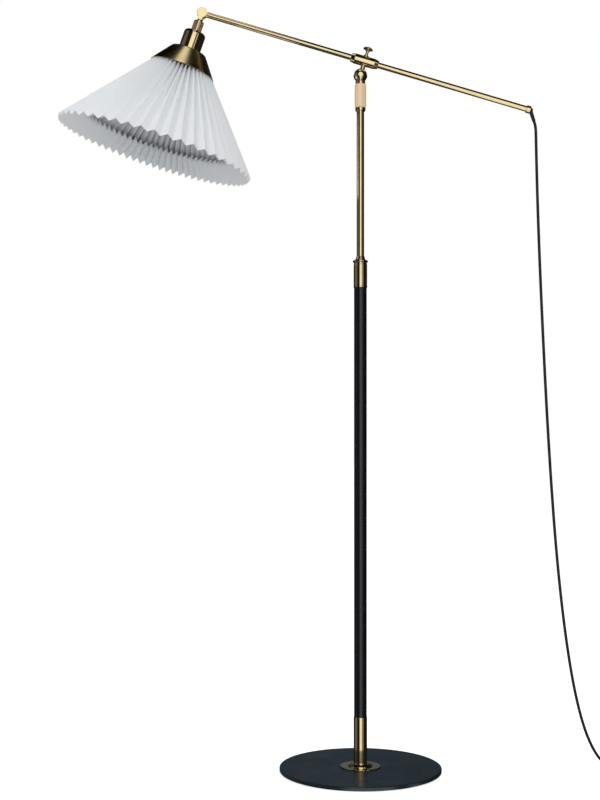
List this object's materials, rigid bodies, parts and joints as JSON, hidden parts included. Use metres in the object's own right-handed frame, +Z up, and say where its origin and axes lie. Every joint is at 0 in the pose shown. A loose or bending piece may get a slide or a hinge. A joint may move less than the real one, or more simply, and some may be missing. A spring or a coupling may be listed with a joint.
{
  "type": "bridge floor lamp",
  "caption": "Floor lamp with a round weighted foot, a telescopic mast, a tilting arm that slides and rolls in a clamp, a pleated shade on a tip hinge, and its cord",
  "frame": {"origin": "centre of the round foot's underside, on the floor", "axes": "+Z up along the mast; the arm lies in the XZ plane with the shade at -X and the cord at +X"},
  "size_m": [1.0546, 0.347, 1.3195],
  "materials": {
    "black_lacquer": "gloss",
    "felt": "matte",
    "polished_brass": "polished",
    "satin_brass": "satin",
    "steel": "satin",
    "nylon": "matte",
    "black_plastic": "satin",
    "holder_plastic": "gloss",
    "maple": "satin",
    "pleated_foil": "satin",
    "cord_sheath": "satin"
  },
  "bodies": {
    "base": {"base_pad": "felt", "base_plate": "black_lacquer", "foot_flange": "polished_brass", "foot_hub": "polished_brass", "foot_washer": "steel", "foot_bolt": "steel", "foot_plug": "steel", "lower_sleeve": "polished_brass", "outer_tube": "black_lacquer", "upper_sleeve": "polished_brass", "mouth_bush": "nylon", "collet": "nylon"},
    "clamp_nut": {"clamp_ring": "polished_brass", "collet_cap": "polished_brass"},
    "mast_guide": {"guide_bush": "nylon"},
    "mast": {"inner_tube": "polished_brass", "mast_plug": "nylon", "stop_ring": "steel", "grip_ring": "polished_brass", "wood_grip": "maple", "knuckle_ball": "polished_brass", "knuckle_pivot": "polished_brass"},
    "arm_carrier": {"knuckle_stem": "polished_brass", "slider": "polished_brass", "slider_end_ring": "polished_brass"},
    "thumb_screw": {"thumb_screw": "polished_brass"},
    "arm_liner": {"arm_liner": "nylon"},
    "arm": {"arm_tube": "polished_brass", "arm_end_cap": "polished_brass", "arm_tongue": "polished_brass", "inner_lead": "cord_sheath"},
    "head": {"head_fork": "polished_brass", "hinge_screw": "polished_brass", "nipple_nut": "steel", "holder_cover": "polished_brass", "lampholder": "holder_plastic", "thread_shell": "polished_brass", "centre_contact": "polished_brass", "shade_cap": "satin_brass", "shade_carrier": "steel", "shade_nut": "holder_plastic", "shade_wire": "steel", "shade": "pleated_foil"},
    "switch_ring": {"switch_ring": "polished_brass"},
    "cord_gland": {"cord_gland": "black_plastic"},
    "cord": {"cord_lead": "cord_sheath", "cord_coil": "cord_sheath", "cord_tail": "cord_sheath", "cord_tie": "black_plastic", "plug": "black_plastic", "plug_pins": "polished_brass"}
  },
  "joints": [
    {"name": "clamp_turn", "type": "hinge", "parent": "base", "child": "clamp_nut", "pos_m": [0, 0, 0.88], "axis": [0, 0, 1], "range_deg": [0, 90]},
    {"name": "mast_height", "type": "slide", "parent": "base", "child": "mast_guide", "axis": [0, 0, 1], "range_m": [-0.24, 0.2095]},
    {"name": "mast_swivel", "type": "hinge", "parent": "mast_guide", "child": "mast", "pos_m": [0, 0, 0.6], "axis": [0, 0, 1], "continuous": true},
    {"name": "arm_tilt", "type": "hinge", "parent": "mast", "child": "arm_carrier", "pos_m": [0, 0, 1.2032], "axis": [0, 1, 0], "range_deg": [-35, 35]},
    {"name": "thumb_turn", "type": "hinge", "parent": "arm_carrier", "child": "thumb_screw", "pos_m": [0.00729, 0, 1.22795], "axis": [0.2827, 0, 0.9592], "range_deg": [0, 180]},
    {"name": "arm_roll", "type": "hinge", "parent": "arm_carrier", "child": "arm_liner", "pos_m": [0.00729, 0, 1.22795], "axis": [0.9592, 0, -0.2827], "range_deg": [-90, 90]},
    {"name": "arm_slide", "type": "slide", "parent": "arm_liner", "child": "arm", "axis": [-0.9592, 0, 0.2827], "range_m": [-0.15, 0.2]},
    {"name": "shade_tilt", "type": "hinge", "parent": "arm", "child": "head", "pos_m": [-0.27376, 0, 1.31077], "axis": [0, -1, 0], "range_deg": [-50, 35]},
    {"name": "switch_turn", "type": "hinge", "parent": "head", "child": "switch_ring", "pos_m": [-0.28173, 0, 1.28814], "axis": [0.3322, 0, 0.9432], "range_deg": [0, 90]},
    {"name": "gland_turn", "type": "hinge", "parent": "arm", "child": "cord_gland", "pos_m": [0.2941, 0, 1.14343], "axis": [0.9592, 0, -0.2827], "range_deg": [-90, 90]},
    {"name": "cord_hang", "type": "hinge", "parent": "cord_gland", "child": "cord", "pos_m": [0.30083, 0, 1.12269], "axis": [0, 1, 0], "range_deg": [-35, 35]}
  ],
  "couplings": [
    {"joint": "gland_turn", "follows": "arm_roll", "ratio": -1},
    {"joint": "cord_hang", "follows": "arm_tilt", "ratio": -1}
  ]
}
